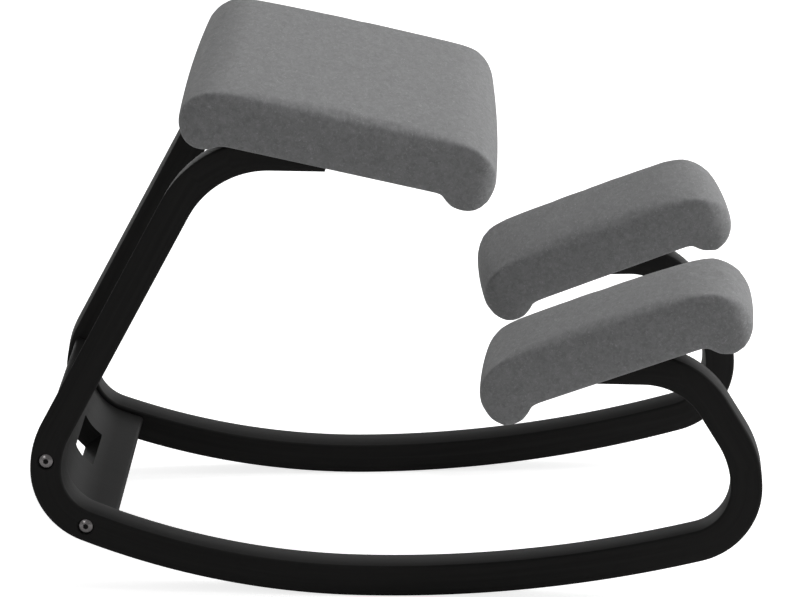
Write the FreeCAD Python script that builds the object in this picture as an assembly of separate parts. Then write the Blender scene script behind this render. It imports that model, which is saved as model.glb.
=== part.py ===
# Kneeling chair: two bent laminated runners, a bent rear stretcher, a sloping seat and two knee pads.
# Frame: X forwards as the sitter faces, Y to the sitter's left, Z up, millimetres, floor at Z = 0.
import FreeCAD, Part
import math
import os
from FreeCAD import Placement, Rotation, Vector

# Runners, bent from laminated beech
frame_length = 720.0
runner_spacing = 414.0
runner_width = 39.0
runner_thickness = 31.0
runner_edge_bevel = 2.4
runner_splay = 3.1
runner_lean = 1.6

# Rocker curve, radii on the underside
rocker_low_x = -35.0
rocker_front_radius = 1300.0
rocker_rear_radius = 780.0

# Bends of the lamination, radii on the inside
rear_bend_inside = 45.0
rear_blend_inside = 72.0
front_bend_inside = 46.0
front_blend_inside = 84.0
seat_bend_inside = 90.0
knee_bend_inside = 65.0

# Runner end under the seat, cut to a wedge
seat_end_height = 429.0
seat_bend_from_back = 240.0
seat_end_from_back = 293.0
seat_end_lip = 11.0
seat_slope = 12.5

# Runner end under the knee pad, cut to a wedge
knee_end_height = 223.0
knee_bend_from_front = 117.0
knee_end_from_front = 175.0
knee_end_lip = 8.5
knee_slope = 20.4

# Rear stretcher, distances along the runner's middle line from its rearmost point
stretcher_thickness = 22.0
stretcher_edge_round = 4.0
bolt_above = 10.0
bolt_below = 73.0
stretcher_margin = 25.0
slot_below = 39.0
slot_length = 98.0
slot_height = 28.0
slot_corner = 2.5

# Connector bolts of the stretcher and the threaded inserts in its ends
bolt_diameter = 6.0
bolt_head_diameter = 15.0
bolt_head_height = 2.6
bolt_head_crown = 1.1
bolt_head_face = 9.0
bolt_hex = 4.0
bolt_hex_depth = 3.0
recess_clearance = 0.8
recess_depth = 2.6
bolt_reach = 20.0
insert_diameter = 10.0
insert_length = 24.0

# Screws and tee nuts that hold the boards
screw_diameter = 6.0
screw_head_diameter = 11.0
screw_head_height = 3.2
screw_hex = 4.0
screw_hex_depth = 2.0
screw_grip = 8.0
screw_recess_clearance = 0.75
screw_end_gap = 1.0
tee_flange_diameter = 19.0
tee_flange_thickness = 1.4
tee_barrel_diameter = 7.8
tee_barrel_length = 9.0
hole_clearance = 0.25

# Upholstery common to the seat and the knee pads
board_thickness = 12.0
cover_thickness = 1.6
board_side_inset = 12.0
board_end_inset = 36.0
board_corner = 22.0
fabric_turn_under = 24.0
liner_gap = 0.5
pad_edge_round = 10.0

# Seat pad, lengths along its slope from the tips of the runners
seat_width = 440.0
seat_behind = 143.0
seat_ahead = 163.5
seat_pad_height = 57.0
seat_rear_roll = 25.0
seat_rear_drop = 7.0
seat_front_roll = 27.0
seat_front_drop = 12.3
seat_corner = 26.0
seat_screw_steps = (24.0, 60.0)

# Knee pads, lengths along their slope from the tip of the runner
knee_width = 152.0
knee_outwards = 67.0
knee_behind = 99.0
knee_ahead = 173.0
knee_pad_height = 57.0
knee_rear_roll = 25.0
knee_rear_drop = 11.3
knee_front_roll = 25.0
knee_front_drop = 14.0
knee_corner = 22.0
knee_screw_steps = (20.0, 48.0)

# Places along the length that follow from these
rear_x = -frame_length / 2
front_x = frame_length / 2
seat_bend_x = rear_x + seat_bend_from_back
seat_end_x = rear_x + seat_end_from_back
knee_bend_x = front_x - knee_bend_from_front
knee_end_x = front_x - knee_end_from_front

# Reach of the bodies that trim the pieces, and how far a drill or cutter stands past a face
reach = 600.0
overcut = 1.0

# Flats that stand for the round of a small shank, nut or hole, of which there are many
small_round_flats = 8


# Middle line of a runner, in its own flat frame
def polar(centre, radius, degrees):
    angle = math.radians(degrees)
    return (centre[0] + radius * math.cos(angle), centre[1] + radius * math.sin(angle))


def bend_centre(bend_x, bend_radius, rocker_radius):
    """Centre of a bend that runs tangent into the rocker curve."""
    across = bend_x - rocker_low_x
    apart = rocker_radius - bend_radius
    return (bend_x, rocker_radius - math.sqrt(apart ** 2 - across ** 2))


def direction(from_point, to_point):
    return math.degrees(math.atan2(to_point[1] - from_point[1], to_point[0] - from_point[0]))


def tangent_angle(first, first_radius, second, second_radius, side):
    """Angle of the radius to the straight run that touches both bends."""
    apart = math.dist(first, second)
    opening = math.degrees(math.acos((first_radius - second_radius) / apart))
    return (direction(first, second) + side * opening) % 360.0


def arc(centre, radius, start, end):
    return {"centre": centre, "radius": radius, "start": start, "end": end}


def line(start, end):
    return {"from": start, "to": end}


def runner_path():
    """Arcs and straight runs from the seat end, round the back and the floor, to the knee end."""
    half = runner_thickness / 2
    rear_r = rear_bend_inside + half
    rear_blend_r = rear_blend_inside + half
    front_r = front_bend_inside + half
    front_blend_r = front_blend_inside + half
    seat_r = seat_bend_inside + half
    knee_r = knee_bend_inside + half
    rear = bend_centre(rear_x + rear_r + half, rear_r + half, rocker_rear_radius)
    front = bend_centre(front_x - front_r - half, front_r + half, rocker_front_radius)
    rear_blend = (rear_x + rear_blend_r + half, rear[1])
    front_blend = (front_x - front_blend_r - half, front[1])
    seat = (seat_bend_x, seat_end_height - seat_bend_inside)
    knee = (knee_bend_x, knee_end_height - knee_bend_inside)
    rocker_rear = (rocker_low_x, rocker_rear_radius)
    rocker_front = (rocker_low_x, rocker_front_radius)
    leg_angle = tangent_angle(seat, seat_r, rear_blend, rear_blend_r, -1)
    rise_angle = tangent_angle(front_blend, front_blend_r, knee, knee_r, -1)
    rear_join = direction(rocker_rear, rear) % 360.0
    front_join = direction(rocker_front, front) % 360.0
    return [
        line((seat_end_x, seat[1] + seat_r), polar(seat, seat_r, 90.0)),
        arc(seat, seat_r, 90.0, leg_angle),
        line(polar(seat, seat_r, leg_angle), polar(rear_blend, rear_blend_r, leg_angle)),
        arc(rear_blend, rear_blend_r, leg_angle, 180.0),
        arc(rear, rear_r, 180.0, rear_join),
        arc(rocker_rear, rocker_rear_radius - half, rear_join, 270.0),
        arc(rocker_front, rocker_front_radius - half, 270.0, front_join),
        arc(front, front_r, front_join, 360.0),
        arc(front_blend, front_blend_r, 0.0, rise_angle),
        line(polar(front_blend, front_blend_r, rise_angle), polar(knee, knee_r, rise_angle)),
        arc(knee, knee_r, rise_angle, 90.0),
        line(polar(knee, knee_r, 90.0), (knee_end_x, knee[1] + knee_r)),
    ]


def length_of(piece):
    if "centre" in piece:
        return piece["radius"] * math.radians(piece["end"] - piece["start"])
    return math.dist(piece["from"], piece["to"])


def spot_on(piece, distance):
    """Point at a distance along a piece, and the outward direction there in degrees."""
    if "centre" in piece:
        angle = piece["start"] + math.degrees(distance / piece["radius"])
        return polar(piece["centre"], piece["radius"], angle), angle
    heading = direction(piece["from"], piece["to"])
    return polar(piece["from"], distance, heading), heading - 90.0


def spot_along(path, distance):
    for piece in path:
        if distance <= length_of(piece):
            return spot_on(piece, distance)
        distance -= length_of(piece)
    return spot_on(path[-1], length_of(path[-1]))


def trimmed(path, start, end):
    """The stretch of a path between two distances along it."""
    kept = []
    passed = 0.0
    for piece in path:
        first = max(start - passed, 0.0)
        last = min(end - passed, length_of(piece))
        passed += length_of(piece)
        if last <= first:
            continue
        if "centre" in piece:
            turn = math.degrees(1.0 / piece["radius"])
            kept.append(arc(piece["centre"], piece["radius"],
                            piece["start"] + first * turn, piece["start"] + last * turn))
        else:
            kept.append(line(spot_on(piece, first)[0], spot_on(piece, last)[0]))
    return kept


def flat(point):
    return Vector(point[0], 0, point[1])


def offset_edge(piece, offset):
    """Edge that runs beside a piece of the middle line, outwards by the offset."""
    if "centre" in piece:
        radius = piece["radius"] + offset
        middle = (piece["start"] + piece["end"]) / 2
        points = [flat(polar(piece["centre"], radius, a)) for a in (piece["start"], middle, piece["end"])]
        return Part.Arc(*points).toShape()
    outward = direction(piece["from"], piece["to"]) - 90.0
    ends = [flat(polar(p, offset, outward)) for p in (piece["from"], piece["to"])]
    return Part.makeLine(*ends)


def band(path, thickness):
    """Flat face of even thickness about a path, in the XZ plane."""
    outer = [offset_edge(piece, thickness / 2) for piece in path]
    inner = [offset_edge(piece, -thickness / 2) for piece in path]
    caps = []
    for piece, distance in ((path[0], 0.0), (path[-1], length_of(path[-1]))):
        point, outward = spot_on(piece, distance)
        caps.append(Part.makeLine(flat(polar(point, thickness / 2, outward)),
                                  flat(polar(point, -thickness / 2, outward))))
    return Part.Face(Part.Wire(Part.__sortEdges__(outer + inner + caps)))


# Placements of the runner, the seat and the knee pad
def runner_placement():
    """Right runner: leans in at the top, splays out to the front, its lowest edge on the floor."""
    turn = Rotation(Vector(0, 0, 1), -runner_splay).multiply(Rotation(Vector(1, 0, 0), -runner_lean))
    lean = math.radians(runner_lean)
    lift = (runner_width / 2 - runner_edge_bevel) * math.sin(lean)
    bend_level = rear_bend_height()
    sideways = turn.multVec(Vector(0, 0, bend_level)).x
    return Placement(Vector(-sideways, -(runner_spacing - runner_width) / 2, lift), turn)


def rear_bend_height():
    outside = rear_bend_inside + runner_thickness
    return bend_centre(rear_x + outside, outside, rocker_rear_radius)[1]


def seat_placement():
    tip = runner_placement().multVec(Vector(seat_end_x, 0, seat_end_height + seat_end_lip))
    return Placement(Vector(tip.x, 0, tip.z), Rotation(Vector(0, 1, 0), seat_slope))


def knee_placement():
    tip = Vector(knee_end_x, 0, knee_end_height + knee_end_lip)
    return runner_placement().multiply(Placement(tip, Rotation(Vector(0, 1, 0), -knee_slope)))


def placed(shape, placement):
    moved = shape.copy()
    moved.Placement = placement.multiply(moved.Placement)
    return moved


def mirrored(shape):
    return shape.mirror(Vector(0, 0, 0), Vector(0, 1, 0))


def block(x0, x1, y0, y1, z0, z1):
    return Part.makeBox(x1 - x0, y1 - y0, z1 - z0, Vector(x0, y0, z0))


def rod(radius, start, end):
    along = end - start
    return Part.makeCylinder(radius, along.Length, start, along)


def prism(sides, radius, start, end):
    """Straight bar of regular section, its corners on the radius."""
    along = end - start
    corners = [Vector(*polar((0, 0), radius, 360.0 * side / sides), 0) for side in range(sides)]
    bar = Part.Face(Part.makePolygon(corners + corners[:1])).extrude(Vector(0, 0, along.Length))
    return placed(bar, Placement(start, Rotation(Vector(0, 0, 1), along)))


def peg(radius, start, end):
    return prism(small_round_flats, radius, start, end)


def hexagon(across, start, end):
    return prism(6, across / math.sqrt(3), start, end)


def level(z):
    return Vector(0, 0, z)


# Stretcher fixings
def rear_bend_place(path):
    """Place in the path of the bend that starts at the rearmost point of the frame."""
    return next(place for place, piece in enumerate(path) if piece.get("start") == 180.0)


def rearmost_distance(path):
    """Distance along the middle line to the rearmost point of the frame."""
    return sum(length_of(piece) for piece in path[:rear_bend_place(path)])


def bolt_spots(path):
    middle = rearmost_distance(path)
    return [spot_along(path, middle + step) for step in (-bolt_above, bolt_below)]


def bolt_line(point, start, end):
    """Two points on a bolt's axis, at levels across the width of the right runner."""
    return [runner_placement().multVec(Vector(point[0], level, point[1])) for level in (start, end)]


def stretcher_bolt():
    """Bolt along +Z with its head's underside at 0: bevelled round head, hexagon socket, shank above."""
    rim = bolt_head_diameter / 2
    head = rod(rim, level(bolt_head_crown - bolt_head_height), level(0))
    crown = Part.makeCone(bolt_head_face / 2, rim, bolt_head_crown, level(-bolt_head_height))
    shank = peg(bolt_diameter / 2, level(0), level(runner_width - recess_depth + bolt_reach))
    face = level(-bolt_head_height)
    socket = hexagon(bolt_hex, face - level(overcut), face + level(bolt_hex_depth))
    return head.fuse([crown, shank]).cut(socket)


def stretcher_bolts(path):
    bolts = []
    for point, _ in bolt_spots(path):
        start, end = bolt_line(point, -runner_width / 2 + recess_depth, runner_width / 2)
        bolts.append(placed(stretcher_bolt(), Placement(start, Rotation(Vector(0, 0, 1), end - start))))
    return bolts


def insert_room(point, clearance):
    """Body that a threaded insert fills in the stretcher's end, grown by a clearance."""
    near = runner_width / 2
    start, end = bolt_line(point, near - clearance, near + insert_length + clearance)
    return peg(insert_diameter / 2 + clearance, start, end)


def stretcher_inserts(path):
    inserts = []
    for point, _ in bolt_spots(path):
        start, end = bolt_line(point, 0.0, runner_width / 2 + insert_length + overcut)
        inserts.append(insert_room(point, 0.0).cut(peg(bolt_diameter / 2, start, end)))
    return inserts


# Frame pieces
def runner(path):
    """Right runner with bevelled edges, wedge-cut ends and the holes for its fixings."""
    solid = band(path, runner_thickness).extrude(Vector(0, runner_width, 0))
    solid.translate(Vector(0, -runner_width / 2, 0))
    ends = (seat_end_x, knee_end_x)
    long_edges = [e for e in solid.Edges if is_long_edge(e, ends)]
    solid = placed(solid.makeChamfer(runner_edge_bevel, long_edges), runner_placement())
    above_seat = placed(block(-reach, reach, -reach, reach, 0, reach), seat_placement())
    above_knee = placed(block(-runner_thickness, reach, -reach, reach, 0, reach), knee_placement())
    solid = solid.cut(above_seat).cut(above_knee)
    for point, _ in bolt_spots(path):
        start, end = bolt_line(point, -runner_width, runner_width)
        solid = solid.cut(peg(bolt_diameter / 2 + hole_clearance, start, end))
        start, end = bolt_line(point, -runner_width, -runner_width / 2 + recess_depth)
        solid = solid.cut(rod(bolt_head_diameter / 2 + recess_clearance, start, end))
    right_seat_spots = [spot for spot in seat_screw_spots() if spot.y < 0]
    for placement, spots in ((seat_placement(), right_seat_spots), (knee_placement(), knee_screw_spots())):
        for spot in spots:
            solid = solid.cut(placed(screw_hole(spot), placement))
    return solid


def is_long_edge(edge, ends):
    """True for the edges that run along the bend, false for those across an end or across the width."""
    points = [vertex.Point for vertex in edge.Vertexes]
    if abs(points[0].y - points[-1].y) > 1e-6:
        return False
    return not any(all(abs(p.x - end) < 1e-6 for p in points) for end in ends)


def stretcher(path):
    """Bent plate that follows the runners round the rear bend, with a hand slot."""
    middle = rearmost_distance(path)
    stretch = trimmed(path, middle - bolt_above - stretcher_margin, middle + bolt_below + stretcher_margin)
    plate = band(stretch, stretcher_thickness).extrude(Vector(0, 2 * reach, 0))
    plate.translate(Vector(0, -reach, 0))
    plate.translate(stretcher_shift(path))
    beyond = block(-2 * reach, 2 * reach, -2 * reach, runner_width / 2, -reach, reach)
    beyond = placed(beyond, runner_placement())
    plate = plate.cut(beyond).cut(mirrored(beyond))
    edges = [e for e in plate.Edges if is_plate_end_edge(e, stretch, stretcher_shift(path))]
    plate = plate.makeFillet(stretcher_edge_round, edges)
    plate = plate.cut(hand_slot(path))
    for point, _ in bolt_spots(path):
        hole = insert_room(point, hole_clearance)
        plate = plate.cut(hole).cut(mirrored(hole))
    return plate


def stretcher_shift(path):
    """How far the splay and lean carry the runner's inner face off its own flat frame at the rear bend."""
    point = path[rear_bend_place(path)]["centre"]
    carried = runner_placement().multVec(Vector(point[0], runner_width / 2, point[1]))
    return Vector(carried.x - point[0], 0, carried.z - point[1])


def is_plate_end_edge(edge, stretch, shift):
    """True for the four edges across the chair at the plate's upper and lower ends."""
    points = [vertex.Point for vertex in edge.Vertexes]
    if abs(points[0].y - points[-1].y) < runner_spacing / 2:
        return False
    for piece, distance in ((stretch[0], 0.0), (stretch[-1], length_of(stretch[-1]))):
        end, _ = spot_on(piece, distance)
        away = points[0] - shift - flat(end)
        if math.hypot(away.x, away.z) < stretcher_thickness:
            return True
    return False


def hand_slot(path):
    point, outward = spot_along(path, rearmost_distance(path) + slot_below)
    depth = stretcher_thickness
    length = slot_length / 2
    height = slot_height / 2
    cutter = block(-depth, depth, -length, length, -height, height)
    corners = [e for e in cutter.Edges if abs(e.Vertexes[0].X - e.Vertexes[-1].X) > 1e-6]
    cutter = cutter.makeFillet(slot_corner, corners)
    turn = Rotation(Vector(0, 1, 0), -outward)
    return placed(cutter, Placement(flat(point) + stretcher_shift(path), turn))


# Board screws and tee nuts, in the frame of the pad that they hold
def seat_screw_spots():
    """Screw positions on the seat's underside: two over the right runner, then two over the left."""
    back = seat_placement().inverse()
    right = []
    for step in seat_screw_steps:
        rise = seat_end_height + seat_end_lip + step * math.tan(math.radians(seat_slope))
        over = back.multVec(runner_placement().multVec(Vector(seat_end_x - step, 0, rise)))
        right.append(Vector(over.x, over.y, 0))
    return right + [Vector(spot.x, -spot.y, 0) for spot in right]


def knee_screw_spots():
    return [Vector(step / math.cos(math.radians(knee_slope)), 0, 0) for step in knee_screw_steps]


def screw_hole(spot):
    """Clearance hole through the runner's wedge with a deep recess for the head."""
    seat_of_head = spot - level(screw_grip)
    shank = peg(screw_diameter / 2 + hole_clearance, seat_of_head - level(overcut), spot + level(overcut))
    recess = peg(screw_head_diameter / 2 + screw_recess_clearance,
                 seat_of_head - level(runner_thickness * 2), seat_of_head)
    return shank.fuse(recess)


def board_top():
    return cover_thickness + board_thickness


def board_screw(spot):
    """Screw from below: through the wedge, the fabric and the board, into the tee nut."""
    seat_of_head = spot - level(screw_grip)
    bottom = seat_of_head - level(screw_head_height)
    head = peg(screw_head_diameter / 2, bottom, seat_of_head)
    shank = peg(screw_diameter / 2, seat_of_head, spot + level(board_top() - screw_end_gap))
    socket = hexagon(screw_hex, bottom - level(overcut), bottom + level(screw_hex_depth))
    return head.fuse(shank).cut(socket)


def tee_nut(spot):
    """Nut with its flange on top of the board and its barrel down in it."""
    top = spot + level(board_top())
    flange = peg(tee_flange_diameter / 2, top, top + level(tee_flange_thickness))
    barrel = peg(tee_barrel_diameter / 2, top - level(tee_barrel_length), top)
    bore = peg(screw_diameter / 2, spot, top + level(tee_flange_thickness + overcut))
    return flange.fuse(barrel).cut(bore)


def tee_nut_hole(spot):
    """Hole drilled through the board for a tee nut's barrel."""
    return peg(tee_barrel_diameter / 2 + hole_clearance, spot, spot + level(board_top() + overcut))


def flange_room(spot):
    """Hollow in the foam that a tee nut's flange fills."""
    start = spot + level(board_top() - overcut)
    end = spot + level(board_top() + tee_flange_thickness)
    return peg(tee_flange_diameter / 2 + hole_clearance, start, end)


def screw_pass(spot):
    """Hole for a screw through the fabric under the board."""
    return peg(screw_diameter / 2 + hole_clearance, spot - level(overcut), spot + level(board_top()))


# Upholstered pads, in their own frame: X along the slope, Z square to it, underside of the cover at 0
def pad_outline(pad, inset):
    """Side outline of a pad: flat top, both ends rolled round and hanging below the board."""
    top = pad["height"] - inset
    rear_centre = (-pad["behind"] + pad["rear_roll"], pad["rear_roll"] - pad["rear_drop"])
    front_centre = (pad["ahead"] - pad["front_roll"], pad["front_roll"] - pad["front_drop"])
    edges = []
    feet = []
    shoulders = []
    for centre, roll, side in ((rear_centre, pad["rear_roll"], 1), (front_centre, pad["front_roll"], -1)):
        radius = roll - inset
        foot = (centre[0] + side * math.sqrt(radius ** 2 - (centre[1] - inset) ** 2), inset)
        end = (centre[0] - side * radius, centre[1])
        foot_angle = math.degrees(math.atan2(foot[1] - centre[1], side * (foot[0] - centre[0])))
        low = (-180.0 + foot_angle) / 2
        bottom = (centre[0] + side * radius * math.cos(math.radians(low)),
                  centre[1] + radius * math.sin(math.radians(low)))
        edges.append(Part.Arc(flat(foot), flat(bottom), flat(end)).toShape())
        shoulder = top - centre[1]
        turn = math.sqrt(0.5) * shoulder
        middle = (end[0] + side * (shoulder - turn), centre[1] + turn)
        crest = (end[0] + side * shoulder, top)
        edges.append(Part.Arc(flat(end), flat(middle), flat(crest)).toShape())
        feet.append(foot)
        shoulders.append(crest)
    edges.append(Part.makeLine(flat(shoulders[0]), flat(shoulders[1])))
    edges.append(Part.makeLine(flat(feet[0]), flat(feet[1])))
    return Part.Face(Part.Wire(Part.__sortEdges__(edges)))


def cushion(pad, inset):
    """Closed soft body of a pad, drawn in by the inset: its side, plan and end outlines crossed."""
    face = pad_outline(pad, inset)
    left = pad["left"] - inset
    right = pad["right"] + inset
    side = face.extrude(Vector(0, left - right, 0))
    side.translate(Vector(0, right, 0))
    top = pad["height"] - inset
    plan = block(-pad["behind"] + inset, pad["ahead"] - inset, right, left, -pad["height"], top)
    corners = [e for e in plan.Edges if abs(e.Vertexes[0].Z - e.Vertexes[-1].Z) > 1e-6]
    plan = plan.makeFillet(pad["corner"] - inset, corners)
    across = block(-pad["behind"], pad["ahead"], right, left, -pad["height"], top)
    ridges = [e for e in across.Edges if all(abs(v.Z - top) < 1e-6 for v in e.Vertexes)
              and abs(e.Vertexes[0].X - e.Vertexes[-1].X) > 1e-6]
    across = across.makeFillet(pad_edge_round - inset, ridges)
    return side.common(plan).common(across)


def rounded_plate(pad, inset_end, inset_side, corner, z0, z1):
    plate = block(-pad["behind"] + inset_end, pad["ahead"] - inset_end,
                  pad["right"] + inset_side, pad["left"] - inset_side, z0, z1)
    corners = [e for e in plate.Edges if abs(e.Vertexes[0].Z - e.Vertexes[-1].Z) > 1e-6]
    return plate.makeFillet(corner, corners)


def window(pad, gap, z0, z1):
    """Opening in the turned-under fabric, where the liner lies."""
    inset_end = board_end_inset + fabric_turn_under
    inset_side = board_side_inset + fabric_turn_under
    return rounded_plate(pad, inset_end + gap, inset_side + gap, board_corner / 2, z0, z1)


def board(pad):
    solid = rounded_plate(pad, board_end_inset, board_side_inset, board_corner, cover_thickness, board_top())
    for spot in pad["screws"]:
        solid = solid.cut(tee_nut_hole(spot))
    return solid


def foam(pad):
    solid = cushion(pad, cover_thickness)
    solid = solid.cut(rounded_plate(pad, board_end_inset, board_side_inset, board_corner,
                                    cover_thickness, board_top()))
    for spot in pad["screws"]:
        solid = solid.cut(flange_room(spot))
    return solid


def cover(pad):
    solid = cushion(pad, 0.0).cut(cushion(pad, cover_thickness))
    solid = solid.cut(window(pad, 0.0, -overcut, cover_thickness + overcut))
    for spot in pad["screws"]:
        solid = solid.cut(screw_pass(spot))
    return solid


def liner(pad):
    solid = window(pad, liner_gap, 0.0, cover_thickness)
    for spot in pad["screws"]:
        solid = solid.cut(screw_pass(spot))
    return solid


def seat_pad():
    return {"behind": seat_behind, "ahead": seat_ahead, "height": seat_pad_height,
            "left": seat_width / 2, "right": -seat_width / 2,
            "rear_roll": seat_rear_roll, "rear_drop": seat_rear_drop,
            "front_roll": seat_front_roll, "front_drop": seat_front_drop,
            "corner": seat_corner, "screws": seat_screw_spots()}


def knee_pad():
    return {"behind": knee_behind, "ahead": knee_ahead, "height": knee_pad_height,
            "left": knee_width - knee_outwards, "right": -knee_outwards,
            "rear_roll": knee_rear_roll, "rear_drop": knee_rear_drop,
            "front_roll": knee_front_roll, "front_drop": knee_front_drop,
            "corner": knee_corner, "screws": knee_screw_spots()}


def pad_pieces(pad, placement):
    """The upholstered pieces of a pad, in place on the chair."""
    pieces = {"board": board(pad), "foam": foam(pad), "cover": cover(pad), "liner": liner(pad)}
    return {name: placed(shape, placement) for name, shape in pieces.items()}


def fixings(make_one, pad, placement):
    return [placed(make_one(spot), placement) for spot in pad["screws"]]


def both_sides(pieces):
    return Part.makeCompound(pieces + [mirrored(piece) for piece in pieces])


def save(name, shape):
    shape.exportStep("parts/" + name + ".step")
    box = shape.optimalBoundingBox()
    print(name, len(shape.Solids), "solids", round(shape.Volume / 1000, 1), "cm3",
          [round(v, 1) for v in (box.XMin, box.XMax, box.YMin, box.YMax, box.ZMin, box.ZMax)],
          "" if shape.isValid() else "NOT VALID")


def main():
    os.makedirs("parts", exist_ok=True)
    path = runner_path()
    right_runner = runner(path)
    save("runner_right", right_runner)
    save("runner_left", mirrored(right_runner))
    save("rear_stretcher", stretcher(path))
    save("stretcher_bolts", both_sides(stretcher_bolts(path)))
    save("stretcher_inserts", both_sides(stretcher_inserts(path)))
    seat = (seat_pad(), seat_placement())
    knee = (knee_pad(), knee_placement())
    for name, shape in pad_pieces(*seat).items():
        save("seat_" + name, shape)
    for name, shape in pad_pieces(*knee).items():
        save("knee_" + name + "_right", shape)
        save("knee_" + name + "_left", mirrored(shape))
    for name, make_one in (("screws", board_screw), ("tee_nuts", tee_nut)):
        save("seat_" + name, Part.makeCompound(fixings(make_one, *seat)))
        save("knee_" + name, both_sides(fixings(make_one, *knee)))


main()
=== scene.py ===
import math
from collections import namedtuple

import bmesh
import bpy
from bpy.props import FloatProperty, FloatVectorProperty, IntProperty, PointerProperty
from mathutils import Matrix, Vector, noise


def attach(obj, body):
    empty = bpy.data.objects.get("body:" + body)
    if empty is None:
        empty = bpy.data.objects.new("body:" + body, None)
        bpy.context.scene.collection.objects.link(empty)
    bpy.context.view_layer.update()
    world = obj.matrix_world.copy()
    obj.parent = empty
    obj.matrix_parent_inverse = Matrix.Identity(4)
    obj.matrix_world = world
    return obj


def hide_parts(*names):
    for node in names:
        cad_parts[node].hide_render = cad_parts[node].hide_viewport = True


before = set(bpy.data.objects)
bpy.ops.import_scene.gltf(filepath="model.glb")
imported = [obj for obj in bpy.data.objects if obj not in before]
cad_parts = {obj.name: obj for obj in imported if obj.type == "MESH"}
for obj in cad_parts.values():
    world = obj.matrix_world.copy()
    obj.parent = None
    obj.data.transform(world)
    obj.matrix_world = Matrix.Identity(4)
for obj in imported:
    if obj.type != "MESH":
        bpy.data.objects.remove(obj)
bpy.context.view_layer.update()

bl_info = {
    "name": "Kneeling Chair",
    "version": (1, 0, 0),
    "blender": (4, 5, 0),
    "location": "View3D > Sidebar > Chair",
    "description": "Finishes a rocking kneeling chair: stained runners, felt pads, linings and fixings",
    "category": "Object",
}

MM = 0.001
TOUCH = 0.01 * MM    # nearer than this counts as the same place
FLAT = 0.9    # share of a normal along Z from which a face counts as flat
QUARTER = math.pi / 2
UP = Vector((0.0, 0.0, 1.0))

Arc = namedtuple("Arc", "centre radius start end")
Run = namedtuple("Run", "start end")
Lamp = namedtuple("Lamp", "name place size power")

# Stage: camera of the photograph, lamps in watts and brightness of the surround
CAMERA_PLACE = (0.0599, -3.5418, 1.3009)
CAMERA_DIP = 16.566
CAMERA_TURN = 0.972
CAMERA_LENS = 163.25
SENSOR_WIDTH = 36.0
LAMP_AIM = Vector((0.0, 0.0, 0.3))
LAMPS = (Lamp("top", (1.8, 0.4, 3.3), (2.6, 2.6), 55.0),
         Lamp("side", (3.6, 0.7, 1.3), (1.6, 1.6), 66.0),
         Lamp("glint", (-1.5, -3.0, 1.2), (0.5, 0.4), 3.0),
         Lamp("back", (0.0, 4.3, 0.4), (5.0, 0.8), 23.0))
AMBIENT = 0.28
FLOOR_SIZE = 60.0
FLOOR_LIFT = 0.78

# Facets, reaches, and how far past a straight run's ends a point may still belong to it
FACET_TURN = math.radians(2.5)
FACET_LEAST = 3.0 * MM
FACET_MOST = 12.0 * MM
PAD_FACET = 4.0 * MM
UNDERSIDE_REACH = 1.5 * MM
BOWED_FROM = 0.5    # a pad's ends bow out from here on, as a share of its half length
RUN_OVERSHOOT = 40.0 * MM

# Linings and staples: levels below the board, pull lines, and the share of a runner's width,
# each way from its middle, that staples keep clear of
LINING_LEVEL = -0.15 * MM
STAPLE_LEVEL = -0.35 * MM
STAPLE_TILT = 0.12
RIPPLE_SCALE = 45.0
RIPPLE_SHARE = 0.03
RIPPLE_EDGE = 10.0 * MM
RUNNER_SHARE = 0.75


# Sizes and colours that a user may change; register() takes their labels from their names
def length(millimetres, text, least=0.0):
    return FloatProperty(description=text, default=millimetres * MM, min=least * MM, precision=4,
                         unit="LENGTH")


def angle(degrees, text):
    return FloatProperty(description=text, default=math.radians(degrees), subtype="ANGLE")


def colour(red, green, blue, text):
    return FloatVectorProperty(description=text, default=(red, green, blue), subtype="COLOR", size=3,
                               min=0.0, max=1.0)


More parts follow.
